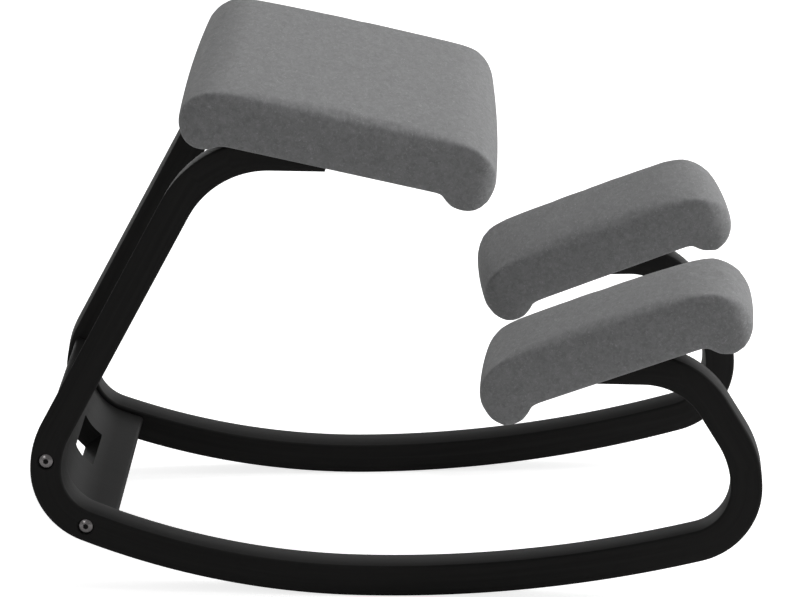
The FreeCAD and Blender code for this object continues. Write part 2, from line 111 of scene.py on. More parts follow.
class ChairFrameSizes(bpy.types.PropertyGroup):
    """Runners and rear stretcher"""
    frame_length: length(720.0, "Overall length of a runner")
    runner_spacing: length(414.0, "Across the outer faces of the two runners")
    runner_width: length(39.0, "Width of a runner across the chair")
    runner_thickness: length(31.0, "Thickness of the lamination")
    runner_edge: length(3.0, "Radius of the runner's long edges")
    runner_foot: length(2.4, "Line that a runner stands on, in from its side")
    splay: angle(3.1, "How far the runners open towards the front")
    lean: angle(1.6, "How far the runners lean in at the top")
    rocker_low: length(-35.0, "Where the rocker touches the floor, along X", -1000.0)
    rocker_front: length(1300.0, "Radius of the rocker ahead of its lowest point")
    rocker_rear: length(780.0, "Radius of the rocker behind its lowest point")
    rear_bend: length(45.0, "Inside radius of the rear bend")
    rear_blend: length(72.0, "Inside radius above the rear bend")
    front_bend: length(46.0, "Inside radius of the front bend")
    front_blend: length(84.0, "Inside radius above the front bend")
    seat_bend: length(90.0, "Inside radius under the seat")
    knee_bend: length(65.0, "Inside radius under the knee pad")
    seat_end_height: length(429.0, "Underside of the end under the seat")
    seat_bend_from_back: length(240.0, "Centre of the seat bend from the back")
    seat_end_from_back: length(293.0, "Tip under the seat from the back")
    seat_end_lip: length(11.0, "Height of the tip under the seat")
    seat_slope: angle(12.5, "How far the seat slopes down to the front")
    knee_end_height: length(223.0, "Underside of the end under the knee pad")
    knee_bend_from_front: length(117.0, "Centre of the knee bend from the front")
    knee_end_from_front: length(175.0, "Tip under the knee pad from the front")
    knee_end_lip: length(8.5, "Height of the tip under the knee pad")
    knee_slope: angle(20.4, "How far the knee pads slope up to the front")
    stretcher_thickness: length(22.0, "Thickness of the bent plate")
    stretcher_edge: length(4.0, "Radius of its two long edges")
    stretcher_margin: length(25.0, "Plate beyond each bolt")
    bolt_above: length(10.0, "Upper bolt above the rearmost point")
    bolt_below: length(73.0, "Lower bolt past the rearmost point")
    slot_below: length(39.0, "Hand slot past the rearmost point")
    slot_length: length(98.0, "Length of the hand slot")
    slot_height: length(28.0, "Height of the hand slot")
    slot_corner: length(2.5, "Corner radius of the hand slot")


class ChairFixingSizes(bpy.types.PropertyGroup):
    """Bolts, screws and staples"""
    shank: length(6.0, "Diameter of the shanks of bolts and screws")
    bolt_head: length(15.0, "Diameter of the bolt heads")
    bolt_head_height: length(2.6, "Height of the domed heads")
    bolt_dome: length(1.9, "How far a bolt head domes above its rim")
    bolt_reach: length(20.0, "Bolt past the runner into the stretcher")
    recess_clearance: length(0.8, "Room round a bolt head")
    recess_depth: length(2.6, "Depth of the bolt recesses")
    socket: length(4.6, "Across the flats of the hexagon sockets")
    socket_depth: length(3.0, "Depth of the sockets to their drilled point")
    socket_rim: length(0.4, "Bevel round the sockets")
    screw_head: length(11.0, "Diameter of the board screws' heads")
    screw_head_height: length(3.2, "Height of the board screws' heads")
    screw_dome: length(1.2, "How far a screw head domes above its rim")
    screw_grip: length(8.0, "Wood between a screw's head and the pad")
    screw_length: length(12.6, "Shank above the runner")
    screw_clearance: length(0.75, "Room round a screw head")
    seat_screw_near: length(24.0, "Nearer seat screw from the runner's tip")
    seat_screw_far: length(60.0, "Farther seat screw from the runner's tip")
    knee_screw_near: length(20.0, "Nearer knee pad screw from the runner's tip")
    knee_screw_far: length(48.0, "Farther knee pad screw from the runner's tip")
    staple_crown: length(9.0, "Length of a staple's back")
    staple_wire: length(0.6, "Thickness of a staple's wire")
    staple_pitch: length(26.0, "Distance from staple to staple")
    staple_inset: length(3.0, "Staples from the lining's edge")
    staple_gap: length(6.0, "Room between a staple and a runner's tip")


PAD_MEASURES = {
    "width": "Width across the chair",
    "outwards": "Part of the width outside the pad's middle line",
    "behind": "Length behind the runner's tip",
    "ahead": "Length ahead of the runner's tip",
    "rear_roll": "Radius of the rear end",
    "rear_drop": "Rear end below the board",
    "front_roll": "Radius of the front end",
    "front_drop": "Front end below the board",
    "corner": "Corner radius in plan",
    "bow": "How far the ends bow out",
    "front_fall": "How far the top falls towards the front",
    "rear_fall": "How far the top falls towards the rear",
    "inner_fall": "How far the top falls towards the inner side",
}


def pad_group(name, text, **millimetres):
    """Property group with the measures of one kind of pad."""
    fields = {key: length(millimetres[key], note) for key, note in PAD_MEASURES.items()}
    return type(name, (bpy.types.PropertyGroup,), {"__doc__": text, "__annotations__": fields})


ChairSeatSizes = pad_group(
    "ChairSeatSizes", "Seat pad", width=440.0, outwards=220.0, behind=146.0, ahead=163.5,
    rear_roll=25.0, rear_drop=8.5, front_roll=27.0, front_drop=12.3, corner=22.0, bow=3.0,
    front_fall=2.0, rear_fall=4.0, inner_fall=0.0)
ChairKneeSizes = pad_group(
    "ChairKneeSizes", "Knee pads", width=151.5, outwards=67.0, behind=99.0, ahead=173.0,
    rear_roll=25.0, rear_drop=12.3, front_roll=25.0, front_drop=14.0, corner=22.0, bow=2.4,
    front_fall=4.2, rear_fall=3.8, inner_fall=2.0)


class ChairCoverSizes(bpy.types.PropertyGroup):
    """Felt and linings of all pads"""
    height: length(57.0, "Pad height above its underside")
    ridge: length(10.0, "Radius of the long upper edges before they swell")
    slack: length(3.5, "How much lower a pad's top is before it swells")
    swell: length(3.0, "Most that a pad swells")
    pressure: FloatProperty(description="Pressure that swells a pad", default=0.5)
    swell_steps: IntProperty(description="Steps of the swelling", default=20, min=1)
    mesh_size: length(5.0, "Size of the pads' mesh before it is smoothed")
    lining_side: length(30.0, "Lining's edge from the pad's sides")
    lining_end: length(54.0, "Lining's edge from the pad's ends")
    lining_corner: length(11.0, "Corner radius of the lining")
    lining_thickness: length(0.4, "Thickness of the lining")


class ChairFinishes(bpy.types.PropertyGroup):
    """Colours of the finishes"""
    stain: colour(0.0125, 0.0122, 0.012, "Black stain on the wood")
    stain_worn: colour(0.0185, 0.018, 0.0175, "Stain over the harder grain")
    felt_dark: colour(0.115, 0.116, 0.118, "Darker fibre of the felt")
    felt_light: colour(0.33, 0.332, 0.335, "Lighter fibre of the felt")
    lining: colour(0.012, 0.012, 0.013, "Non-woven lining under the boards")
    steel: colour(0.30, 0.285, 0.285, "Plated steel of the fixings")
    zinc: colour(0.55, 0.56, 0.58, "Zinc on the hidden nuts and inserts")
    ply_light: colour(0.55, 0.40, 0.24, "Light plies of the boards")
    ply_dark: colour(0.36, 0.24, 0.13, "Dark plies of the boards")
    floor: colour(0.90, 0.90, 0.90, "Pale studio floor")


SETTINGS = {"chair_frame": ChairFrameSizes, "chair_fixings": ChairFixingSizes,
            "chair_seat": ChairSeatSizes, "chair_knee": ChairKneeSizes,
            "chair_covers": ChairCoverSizes, "chair_finishes": ChairFinishes}


def settings(name):
    return getattr(bpy.context.scene, "chair_" + name)


# Middle line of a runner, in its own flat frame
def polar(centre, radius, turn):
    return (centre[0] + radius * math.cos(turn), centre[1] + radius * math.sin(turn))


def heading(start, end):
    return math.atan2(end[1] - start[1], end[0] - start[0])


def path_length(piece):
    if isinstance(piece, Arc):
        return piece.radius * (piece.end - piece.start)
    return math.dist(piece.start, piece.end)


def spot_on(piece, distance):
    """Point at a distance along a piece, and the outward direction there."""
    if isinstance(piece, Arc):
        turn = piece.start + distance / piece.radius
        return polar(piece.centre, piece.radius, turn), turn
    return polar(piece.start, distance, heading(*piece)), heading(*piece) - QUARTER


def spot_along(path, distance):
    for piece in path:
        if distance <= path_length(piece):
            return spot_on(piece, distance)
        distance -= path_length(piece)
    return spot_on(path[-1], path_length(path[-1]))


def end_spots(path):
    return spot_on(path[0], 0.0)[0], spot_on(path[-1], path_length(path[-1]))[0]


def trimmed(path, start, end):
    """The arcs of a path between two distances along it."""
    kept = []
    passed = 0.0
    for piece in path:
        first = max(start - passed, 0.0)
        last = min(end - passed, path_length(piece))
        passed += path_length(piece)
        if last > first and isinstance(piece, Arc):
            kept.append(Arc(piece.centre, piece.radius, piece.start + first / piece.radius,
                            piece.start + last / piece.radius))
        elif last > first:
            kept.append(Run(spot_on(piece, first)[0], spot_on(piece, last)[0]))
    return kept


def bend_centre(low, bend_x, bend_radius, rocker_radius):
    """Centre of a bend that runs tangent into the rocker curve."""
    apart = rocker_radius - bend_radius
    return (bend_x, rocker_radius - math.sqrt(apart ** 2 - (bend_x - low) ** 2))


def tangent_turn(first, first_radius, second, second_radius):
    """Direction of the radius to the straight run that touches both bends."""
    opening = math.acos((first_radius - second_radius) / math.dist(first, second))
    return (heading(first, second) - opening) % math.tau


def runner_path():
    """Arcs and straight runs from the seat end, round the back and the floor, to the knee end."""
    size = settings("frame")
    half = size.runner_thickness / 2
    back = -size.frame_length / 2
    front = size.frame_length / 2
    rear_r, rear_blend_r, front_r, front_blend_r, seat_r, knee_r = (
        inside + half for inside in (size.rear_bend, size.rear_blend, size.front_bend,
                                     size.front_blend, size.seat_bend, size.knee_bend))
    low = size.rocker_low
    rear = bend_centre(low, back + rear_r + half, rear_r + half, size.rocker_rear)
    fore = bend_centre(low, front - front_r - half, front_r + half, size.rocker_front)
    rear_blend = (back + rear_blend_r + half, rear[1])
    front_blend = (front - front_blend_r - half, fore[1])
    seat = (back + size.seat_bend_from_back, size.seat_end_height - size.seat_bend)
    knee = (front - size.knee_bend_from_front, size.knee_end_height - size.knee_bend)
    rocker_rear = (low, size.rocker_rear)
    rocker_front = (low, size.rocker_front)
    leg = tangent_turn(seat, seat_r, rear_blend, rear_blend_r)
    rise = tangent_turn(front_blend, front_blend_r, knee, knee_r)
    rear_join = heading(rocker_rear, rear) % math.tau
    front_join = heading(rocker_front, fore) % math.tau
    return [
        Run((seat_tip_x(), seat[1] + seat_r), polar(seat, seat_r, QUARTER)),
        Arc(seat, seat_r, QUARTER, leg),
        Run(polar(seat, seat_r, leg), polar(rear_blend, rear_blend_r, leg)),
        Arc(rear_blend, rear_blend_r, leg, math.pi),
        Arc(rear, rear_r, math.pi, rear_join),
        Arc(rocker_rear, size.rocker_rear - half, rear_join, 3 * QUARTER),
        Arc(rocker_front, size.rocker_front - half, 3 * QUARTER, front_join),
        Arc(fore, front_r, front_join, math.tau),
        Arc(front_blend, front_blend_r, 0.0, rise),
        Run(polar(front_blend, front_blend_r, rise), polar(knee, knee_r, rise)),
        Arc(knee, knee_r, rise, QUARTER),
        Run(polar(knee, knee_r, QUARTER), (knee_tip_x(), knee[1] + knee_r)),
    ]


def seat_tip_x():
    size = settings("frame")
    return -size.frame_length / 2 + size.seat_end_from_back


def knee_tip_x():
    size = settings("frame")
    return size.frame_length / 2 - size.knee_end_from_front


def rear_place(path):
    """Place in the path of the bend that starts at the rearmost point."""
    return next(place for place, piece in enumerate(path)
                if isinstance(piece, Arc) and piece.start == math.pi)


def rearmost_distance(path):
    return sum(path_length(piece) for piece in path[:rear_place(path)])


# Placements of the runner, the seat, the knee pad and the fixings
def runner_place(path):
    """Right runner: leans in at the top, splays out to the front, its lowest edge on the floor."""
    size = settings("frame")
    turn = Matrix.Rotation(-size.splay, 4, "Z") @ Matrix.Rotation(-size.lean, 4, "X")
    bend_level = path[rear_place(path)].centre[1]
    sideways = (turn @ Vector((0.0, 0.0, bend_level))).x
    lift = (size.runner_width / 2 - size.runner_foot) * math.sin(size.lean)
    middle = -(size.runner_spacing - size.runner_width) / 2
    return Matrix.Translation((-sideways, middle, lift)) @ turn


def seat_place(path):
    size = settings("frame")
    tip = runner_place(path) @ Vector((seat_tip_x(), 0.0, size.seat_end_height + size.seat_end_lip))
    return Matrix.Translation((tip.x, 0.0, tip.z)) @ Matrix.Rotation(size.seat_slope, 4, "Y")


def knee_place(path):
    size = settings("frame")
    tip = Matrix.Translation((knee_tip_x(), 0.0, size.knee_end_height + size.knee_end_lip))
    return runner_place(path) @ tip @ Matrix.Rotation(-size.knee_slope, 4, "Y")


def seat_screw_spots(path):
    """Screw positions on the seat's underside: two over the right runner, then two over the left."""
    size = settings("frame")
    fixing = settings("fixings")
    back = seat_place(path).inverted()
    right = []
    for step in (fixing.seat_screw_near, fixing.seat_screw_far):
        rise = size.seat_end_height + size.seat_end_lip + step * math.tan(size.seat_slope)
        over = back @ runner_place(path) @ Vector((seat_tip_x() - step, 0.0, rise))
        right.append(Vector((over.x, over.y, 0.0)))
    return right + [Vector((spot.x, -spot.y, 0.0)) for spot in right]


def knee_screw_spots():
    fixing = settings("fixings")
    slope = settings("frame").knee_slope
    return [Vector((step / math.cos(slope), 0.0, 0.0))
            for step in (fixing.knee_screw_near, fixing.knee_screw_far)]


def bolt_places(path):
    """Placements of the right side's bolts: Z along the bolt, 0 at the underside of its head."""
    size = settings("frame")
    depth = -size.runner_width / 2 + settings("fixings").recess_depth
    middle = rearmost_distance(path)
    spots = [spot_along(path, middle + step)[0] for step in (-size.bolt_above, size.bolt_below)]
    return [runner_place(path) @ Matrix.Translation((spot[0], depth, spot[1]))
            @ Matrix.Rotation(-QUARTER, 4, "X") for spot in spots]


def screw_places(path):
    """Placements of all board screws, as (seat, right knee): 0 at the underside of the head."""
    grip = Matrix.Translation((0.0, 0.0, -settings("fixings").screw_grip))
    return [[place @ Matrix.Translation(spot) @ grip for spot in spots]
            for place, spots in ((seat_place(path), seat_screw_spots(path)),
                                 (knee_place(path), knee_screw_spots()))]


# Steps of modelling by hand
def deselect():
    bpy.ops.object.select_all(action="DESELECT")


def activate(obj):
    deselect()
    obj.select_set(True)
    bpy.context.view_layer.objects.active = obj


def call(obj, name):
    obj.name = name
    obj.data.name = name


def primitive(kind, name, scale=(1.0, 1.0, 1.0), **values):
    """Adds a primitive, names it, scales it and moves its place into its mesh."""
    deselect()
    getattr(bpy.ops.mesh, f"primitive_{kind}_add")(**values)
    obj = bpy.context.active_object
    obj.scale = scale
    call(obj, name)
    activate(obj)
    bpy.ops.object.transform_apply(location=True, rotation=True, scale=True)
    return obj


def rod(name, radius, place, start, end, vertices=48):
    """Round bar between two levels on the Z axis of a placement."""
    middle = place @ Matrix.Translation((0.0, 0.0, (start + end) / 2))
    return primitive("cylinder", name, vertices=vertices, radius=radius, depth=abs(end - start),
                     location=middle.to_translation(), rotation=middle.to_euler())


def edit(obj):
    activate(obj)
    bpy.ops.object.mode_set(mode="EDIT")
    bpy.ops.mesh.select_all(action="SELECT")


def leave_edit():
    bpy.ops.object.mode_set(mode="OBJECT")


def turn_outwards():
    bpy.ops.mesh.select_all(action="SELECT")
    bpy.ops.mesh.normals_make_consistent(inside=False)


def round_edges(radius, segments, **values):
    bpy.ops.mesh.bevel(offset=radius, segments=segments, affect="EDGES", **values)


def pick(obj, kind, test):
    """Selects only the vertices, edges or faces that pass the test."""
    bpy.ops.mesh.select_mode(type=kind)
    bpy.ops.mesh.select_all(action="DESELECT")
    shape = bmesh.from_edit_mesh(obj.data)
    items = {"VERT": shape.verts, "EDGE": shape.edges, "FACE": shape.faces}[kind]
    chosen = [item for item in items if test(item)]
    for item in chosen:
        item.select_set(True)
    shape.select_flush_mode()
    bmesh.update_edit_mesh(obj.data)
    if not chosen:
        raise RuntimeError(f"{obj.name}: nothing to select")


def ends_of(edge):
    return [vertex.co for vertex in edge.verts]


def face_outwards(obj):
    edit(obj)
    bpy.ops.mesh.remove_doubles(threshold=TOUCH)
    turn_outwards()
    leave_edit()


def follow(path, step):
    """Draws what is selected along a path in the XZ plane."""
    for piece in path:
        if isinstance(piece, Arc):
            steps = max(2, round(path_length(piece) / step(piece)))
            bpy.ops.mesh.spin(steps=steps, angle=piece.end - piece.start, use_auto_merge=False,
                              center=(piece.centre[0], 0.0, piece.centre[1]), axis=(0.0, 1.0, 0.0))
        else:
            move = (piece.end[0] - piece.start[0], 0.0, piece.end[1] - piece.start[1])
            bpy.ops.mesh.extrude_region_move(TRANSFORM_OT_translate={"value": move})


def bend_step(piece):
    """Length of one facet: short in a tight bend, longer in the rocker curve."""
    return min(max(piece.radius * FACET_TURN, FACET_LEAST), FACET_MOST)


def apply_modifier(obj, kind, **values):
    activate(obj)
    modifier = obj.modifiers.new(kind.title(), kind)
    for key, value in values.items():
        setattr(modifier, key, value)
    bpy.ops.object.modifier_apply(modifier=modifier.name)


def remove(obj):
    mesh = obj.data
    bpy.data.objects.remove(obj)
    bpy.data.meshes.remove(mesh)


def boolean(obj, other, operation="DIFFERENCE"):
    apply_modifier(obj, "BOOLEAN", object=other, operation=operation, solver="EXACT")
    remove(other)


def move_mesh(obj, place):
    obj.data.transform(place)
    obj.data.update()


def copy_of(obj, name):
    made = obj.copy()
    made.data = obj.data.copy()
    call(made, name)
    bpy.context.collection.objects.link(made)
    return made


def mirrored_copy(obj, name):
    """The same piece on the other side of the chair."""
    made = copy_of(obj, name)
    edit(made)
    bpy.ops.transform.resize(value=(1.0, -1.0, 1.0), center_override=(0.0, 0.0, 0.0))
    turn_outwards()
    leave_edit()
    return made


def smooth(obj, degrees=35.0):
    activate(obj)
    bpy.ops.object.shade_smooth_by_angle(angle=math.radians(degrees), keep_sharp_edges=False)


def joined(objects, name):
    """Joins copies of a small part into one piece."""
    deselect()
    for obj in objects:
        obj.select_set(True)
    whole = objects[0]
    bpy.context.view_layer.objects.active = whole
    bpy.ops.object.join()
    call(whole, name)
    smooth(whole, 30.0)
    return whole


def finish_piece(obj, material, slot, *nodes):
    obj.data.materials.clear()
    obj.data.materials.append(material)
    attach(obj, "root")
    if nodes:
        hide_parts(*nodes)


# Materials
def new_material(name):
    material = bpy.data.materials.new(name)
    material.use_nodes = True
    return material, material.node_tree


def fill_inputs(tree, target, inputs):
    """Links or sets a node's inputs."""
    for key, value in inputs.items():
        if isinstance(value, bpy.types.NodeSocket):
            tree.links.new(value, target.inputs[key])
        else:
            target.inputs[key].default_value = value


def node(tree, kind, inputs=None, **values):
    """Adds a node, laid out in rows by its number."""
    row, column = divmod(len(tree.nodes), 6)
    made = tree.nodes.new("ShaderNode" + kind)
    made.location = (220 * column - 1500, 300 - 260 * row)
    for key, value in values.items():
        setattr(made, key, value)
    fill_inputs(tree, made, inputs or {})
    return made


def shade(tree, **inputs):
    """Links or sets the shader's inputs, named with _ for each space."""
    shader = tree.nodes["Principled BSDF"]
    fill_inputs(tree, shader, {key.replace("_", " "): value for key, value in inputs.items()})


def object_place(tree):
    return node(tree, "TexCoord").outputs["Object"]


def stretched(tree, source, scale):
    return node(tree, "Mapping", {"Vector": source, "Scale": scale}).outputs["Vector"]


def noise_map(tree, place, scale, detail, roughness=0.5, distortion=0.0):
    inputs = {"Vector": place, "Scale": scale, "Detail": detail, "Roughness": roughness,
              "Distortion": distortion}
    return node(tree, "TexNoise", inputs).outputs["Fac"]


def spread(tree, source, low, high, start=0.0, end=1.0):
    """A texture's value, spread between two limits."""
    return node(tree, "MapRange", {"Value": source, "From Min": start, "From Max": end,
                                   "To Min": low, "To Max": high}).outputs["Result"]


def maths(tree, operation, first, second=0.0, **values):
    return node(tree, "Math", {0: first, 1: second}, operation=operation, **values).outputs[0]


def mixed(tree, factor, first, second):
    inputs = {0: factor, 6: (*first, 1.0), 7: (*second, 1.0)}
    return node(tree, "Mix", inputs, data_type="RGBA").outputs[2]


def scaled_colour(tree, tint, scale):
    return node(tree, "VectorMath", {0: (*tint,), "Scale": scale}, operation="SCALE").outputs[0]


def bump(tree, height, strength, distance):
    inputs = {"Height": height, "Strength": strength, "Distance": distance}
    return node(tree, "Bump", inputs).outputs["Normal"]


def stained_wood():
    """Beech under a black stain: grain along the bend, faint glue lines on the sides."""
    tint = settings("finishes")
    material, tree = new_material("black_stained_beech")
    bend = node(tree, "Attribute", attribute_name="bend").outputs["Vector"]
    grain = noise_map(tree, stretched(tree, bend, (4.0, 160.0, 160.0)), 1.0, 6.0, 0.65, 0.4)
    pores = noise_map(tree, stretched(tree, bend, (30.0, 1600.0, 1600.0)), 1.0, 2.0)
    depth = node(tree, "SeparateXYZ", {"Vector": bend}).outputs["Z"]
    ply = 2.6 * MM
    part = maths(tree, "FRACT", maths(tree, "DIVIDE", depth, ply))
    glue = spread(tree, part, 1.0, 0.0, 0.0, 0.10)
    worn = spread(tree, grain, 0.0, 1.0, 0.35, 0.7)
    open_pore = spread(tree, pores, 1.0, 0.0, 0.62, 0.74)
    surface = maths(tree, "SUBTRACT", open_pore, glue)
    shade(tree, Base_Color=mixed(tree, worn, tint.stain, tint.stain_worn),
          Roughness=spread(tree, grain, 0.50, 0.58, 0.3, 0.7), Specular_IOR_Level=0.10,
          Normal=bump(tree, surface, 0.15, 0.08 * MM))
    return material


def felt():
    """Grey wool felt: light and dark fibres mixed and combed across the chair, a soft nap."""
    tint = settings("finishes")
    material, tree = new_material("wool_felt")
    place = object_place(tree)
    combed = stretched(tree, place, (1.0, 0.38, 1.0))
    fleck = noise_map(tree, combed, 220.0, 3.0, 0.6, 0.9)
    cloud = noise_map(tree, combed, 95.0, 3.0, 0.6)
    fibre = noise_map(tree, place, 1500.0, 3.0, 0.6, 2.0)
    hair = noise_map(tree, combed, 330.0, 1.0, 0.5, 2.6)
    stray = spread(tree, hair, 0.0, 0.40, 0.60, 0.74)
    speckle = maths(tree, "ADD", spread(tree, fleck, -0.15, 0.15, 0.3, 0.7), stray)
    both = maths(tree, "ADD", speckle, spread(tree, cloud, -0.05, 0.05, 0.3, 0.7))
    light_share = maths(tree, "ADD", both, 0.45, use_clamp=True)
    nap = maths(tree, "ADD", fibre, fleck)
    shade(tree, Base_Color=mixed(tree, light_share, tint.felt_dark, tint.felt_light), Roughness=0.95,
          Specular_IOR_Level=0.2, Sheen_Weight=0.22, Sheen_Roughness=0.5,
          Normal=bump(tree, nap, 0.25, 0.2 * MM))
    return material


def lining_cloth():
    """Black non-woven cloth, pressed in small dots."""
    material, tree = new_material("lining_cloth")
    place = object_place(tree)
    dots = node(tree, "TexVoronoi", {"Vector": place, "Scale": 420.0}).outputs["Distance"]
    light = spread(tree, noise_map(tree, place, 900.0, 4.0), 0.6, 1.6, 0.3, 0.7)
    shade(tree, Base_Color=scaled_colour(tree, settings("finishes").lining, light), Roughness=0.85,
          Specular_IOR_Level=0.25, Normal=bump(tree, dots, 0.4, 0.2 * MM))
    return material


def metal(name, tint, low, high):
    """Plated steel with fine marks in its shine, its roughness between two limits."""
    material, tree = new_material(name)
    marks = noise_map(tree, object_place(tree), 700.0, 5.0)
    bright = spread(tree, marks, 0.0, 1.0, 0.3, 0.7)
    darker = tuple(part * 0.8 for part in tint)
    shade(tree, Base_Color=mixed(tree, bright, darker, tint), Metallic=1.0,
          Roughness=spread(tree, marks, low, high, 0.3, 0.7), Normal=bump(tree, marks, 0.1, 0.05 * MM))
    return material


def plywood(name, slope):
    """Birch plywood: grain on its faces, plies on its edges."""
    tint = settings("finishes")
    material, tree = new_material(name)
    inputs = {"Vector": object_place(tree), "Rotation": (0.0, -slope, 0.0)}
    turned = node(tree, "Mapping", inputs).outputs["Vector"]
    grain = noise_map(tree, stretched(tree, turned, (12.0, 260.0, 260.0)), 1.0, 5.0, 0.6)
    depth = node(tree, "SeparateXYZ", {"Vector": turned}).outputs["Z"]
    ply = 1.4 * MM
    turn = maths(tree, "MULTIPLY", maths(tree, "DIVIDE", depth, ply), math.pi)
    plies = spread(tree, maths(tree, "SINE", turn), 0.0, 0.5, -1.0, 1.0)
    dark_share = spread(tree, maths(tree, "ADD", grain, plies), 0.0, 1.0, 0.3, 1.1)
    shade(tree, Base_Color=mixed(tree, dark_share, tint.ply_light, tint.ply_dark), Roughness=0.6,
          Normal=bump(tree, grain, 0.2, 0.1 * MM))
    return material


def floor_finish():
    """Pale floor that the camera sees as white and that keeps the shadows."""
    material, tree = new_material("studio_floor")
    light = spread(tree, noise_map(tree, object_place(tree), 3.0, 2.0), 0.995, 1.0)
    seen = node(tree, "LightPath").outputs["Is Camera Ray"]
    shade(tree, Base_Color=scaled_colour(tree, settings("finishes").floor, light), Roughness=0.9,
          Specular_IOR_Level=0.1, Emission_Color=(1.0, 1.0, 1.0, 1.0),
          Emission_Strength=maths(tree, "MULTIPLY", seen, FLOOR_LIFT))
    return material


# Frame pieces
def section(name, width, thickness, point, outward, edge):
    """Flat cross-section of a bent piece, its corners rounded."""
    across = Vector((0.0, 1.0, 0.0))
    out = Vector((math.cos(outward), 0.0, math.sin(outward)))
    turn = Matrix((across, out, across.cross(out))).transposed()
    obj = primitive("plane", name, (width, thickness, 1.0), size=1.0, rotation=turn.to_euler(),
                    location=(point[0], 0.0, point[1]))
    edit(obj)
    if edge:
        bpy.ops.mesh.bevel(offset=edge, segments=4, affect="VERTICES")
        bpy.ops.mesh.select_all(action="SELECT")
    return obj


def cut_off(obj, point, normal, near=None):
    """Cuts away what lies past a plane, near one end only where a test is given."""
    if near:
        pick(obj, "FACE", near)
    else:
        bpy.ops.mesh.select_mode(type="FACE")
        bpy.ops.mesh.select_all(action="SELECT")
    bpy.ops.mesh.bisect(plane_co=point, plane_no=normal, use_fill=True, clear_outer=True,
                        threshold=0.1 * TOUCH)


def mark_bend(obj, path, place, side=1.0):
    """Stores for each vertex how far along, across and out of the bend it lies."""
    back = place.inverted()
    values = []
    for vertex in obj.data.vertices:
        point = back @ Vector((vertex.co.x, side * vertex.co.y, vertex.co.z))
        along, out = place_on(path, (point.x, point.z))
        values.extend((along, point.y, out))
    layer = obj.data.attributes.new("bend", "FLOAT_VECTOR", "POINT")
    layer.data.foreach_set("vector", values)


def place_on(path, point):
    """Distance along the path of its nearest spot, and how far outside it the point lies."""
    best = None
    passed = 0.0
    small_turn = 1e-4
    for piece in path:
        if isinstance(piece, Arc):
            turn = (heading(piece.centre, point) - piece.start) % math.tau
            out = math.dist(piece.centre, point) - piece.radius
            at_start = min(abs(turn), abs(turn - math.tau)) < small_turn
            inside = turn <= piece.end - piece.start + small_turn or at_start
            along = (0.0 if at_start else turn) * piece.radius
        else:
            run = heading(*piece)
            x = point[0] - piece.start[0]
            z = point[1] - piece.start[1]
            along = x * math.cos(run) + z * math.sin(run)
            out = x * math.sin(run) - z * math.cos(run)
            inside = -RUN_OVERSHOOT <= along <= path_length(piece) + RUN_OVERSHOOT
        if inside and (best is None or abs(out) < abs(best[1])):
            best = (passed + along, out)
        passed += path_length(piece)
    return best or (0.0, 0.0)


def build_runner(path):
    size = settings("frame")
    fixing = settings("fixings")
    point, outward = spot_on(path[0], 0.0)
    obj = section("runner_right_finish", size.runner_width, size.runner_thickness, point, outward,
                  size.runner_edge)
    follow(path, bend_step)
    turn_outwards()
    leave_edit()
    move_mesh(obj, runner_place(path))
    seat = seat_place(path)
    knee = knee_place(path)
    back = knee.inverted()
    span = size.runner_thickness

    def at_knee(face):
        middle = back @ face.calc_center_median()
        return middle.x > -span and middle.z > -2.5 * span

    edit(obj)
    cut_off(obj, seat.to_translation(), seat.to_3x3() @ UP)
    cut_off(obj, knee.to_translation(), knee.to_3x3() @ UP, at_knee)
    leave_edit()
    seat_screws, knee_screws = screw_places(path)
    room = fixing.bolt_head / 2 + fixing.recess_clearance
    cutters = [rod("bolt_recess", room, place, -span, 0.0) for place in bolt_places(path)]
    room = fixing.screw_head / 2 + fixing.screw_clearance
    cutters += [rod("screw_recess", room, place, -2.0 * span, 0.0, 32)
                for place in seat_screws[:2] + knee_screws]
    for cutter in cutters:
        boolean(obj, cutter)
    return obj


def build_stretcher(path):
    size = settings("frame")
    middle = rearmost_distance(path)
    stretch = trimmed(path, middle - size.bolt_above - size.stretcher_margin,
                      middle + size.bolt_below + size.stretcher_margin)
    point, outward = spot_on(stretch[0], 0.0)
    obj = section("rear_stretcher_finish", size.runner_spacing, size.stretcher_thickness, point,
                  outward, 0.0)
    follow(stretch, bend_step)
    turn_outwards()
    ends = end_spots(stretch)
    pick(obj, "EDGE", lambda edge: is_end_edge(edge, ends, size.stretcher_thickness))
    round_edges(size.stretcher_edge, 5)
    leave_edit()
    move_mesh(obj, Matrix.Translation(stretcher_shift(path)))
    inner = runner_place(path) @ Matrix.Translation((0.0, size.runner_width / 2, 0.0))
    beyond = inner.to_3x3() @ Vector((0.0, -1.0, 0.0))
    edit(obj)
    for mirror in (Vector((1.0, 1.0, 1.0)), Vector((1.0, -1.0, 1.0))):
        cut_off(obj, inner.to_translation() * mirror, beyond * mirror)
    leave_edit()
    boolean(obj, slot_cutter(path))
    return obj


def is_end_edge(edge, ends, reach):
    """True for the four edges across the chair at the plate's two ends."""
    first, second = ends_of(edge)
    if abs(first.y - second.y) < reach:
        return False
    return any(abs(math.dist(end, (first.x, first.z)) - reach / 2) < TOUCH for end in ends)


def stretcher_shift(path):
    """How far the splay and lean carry the runner's inner face off its flat frame at the rear bend."""
    size = settings("frame")
    centre = path[rear_place(path)].centre
    carried = runner_place(path) @ Vector((centre[0], size.runner_width / 2, centre[1]))
    return Vector((carried.x - centre[0], 0.0, carried.z - centre[1]))


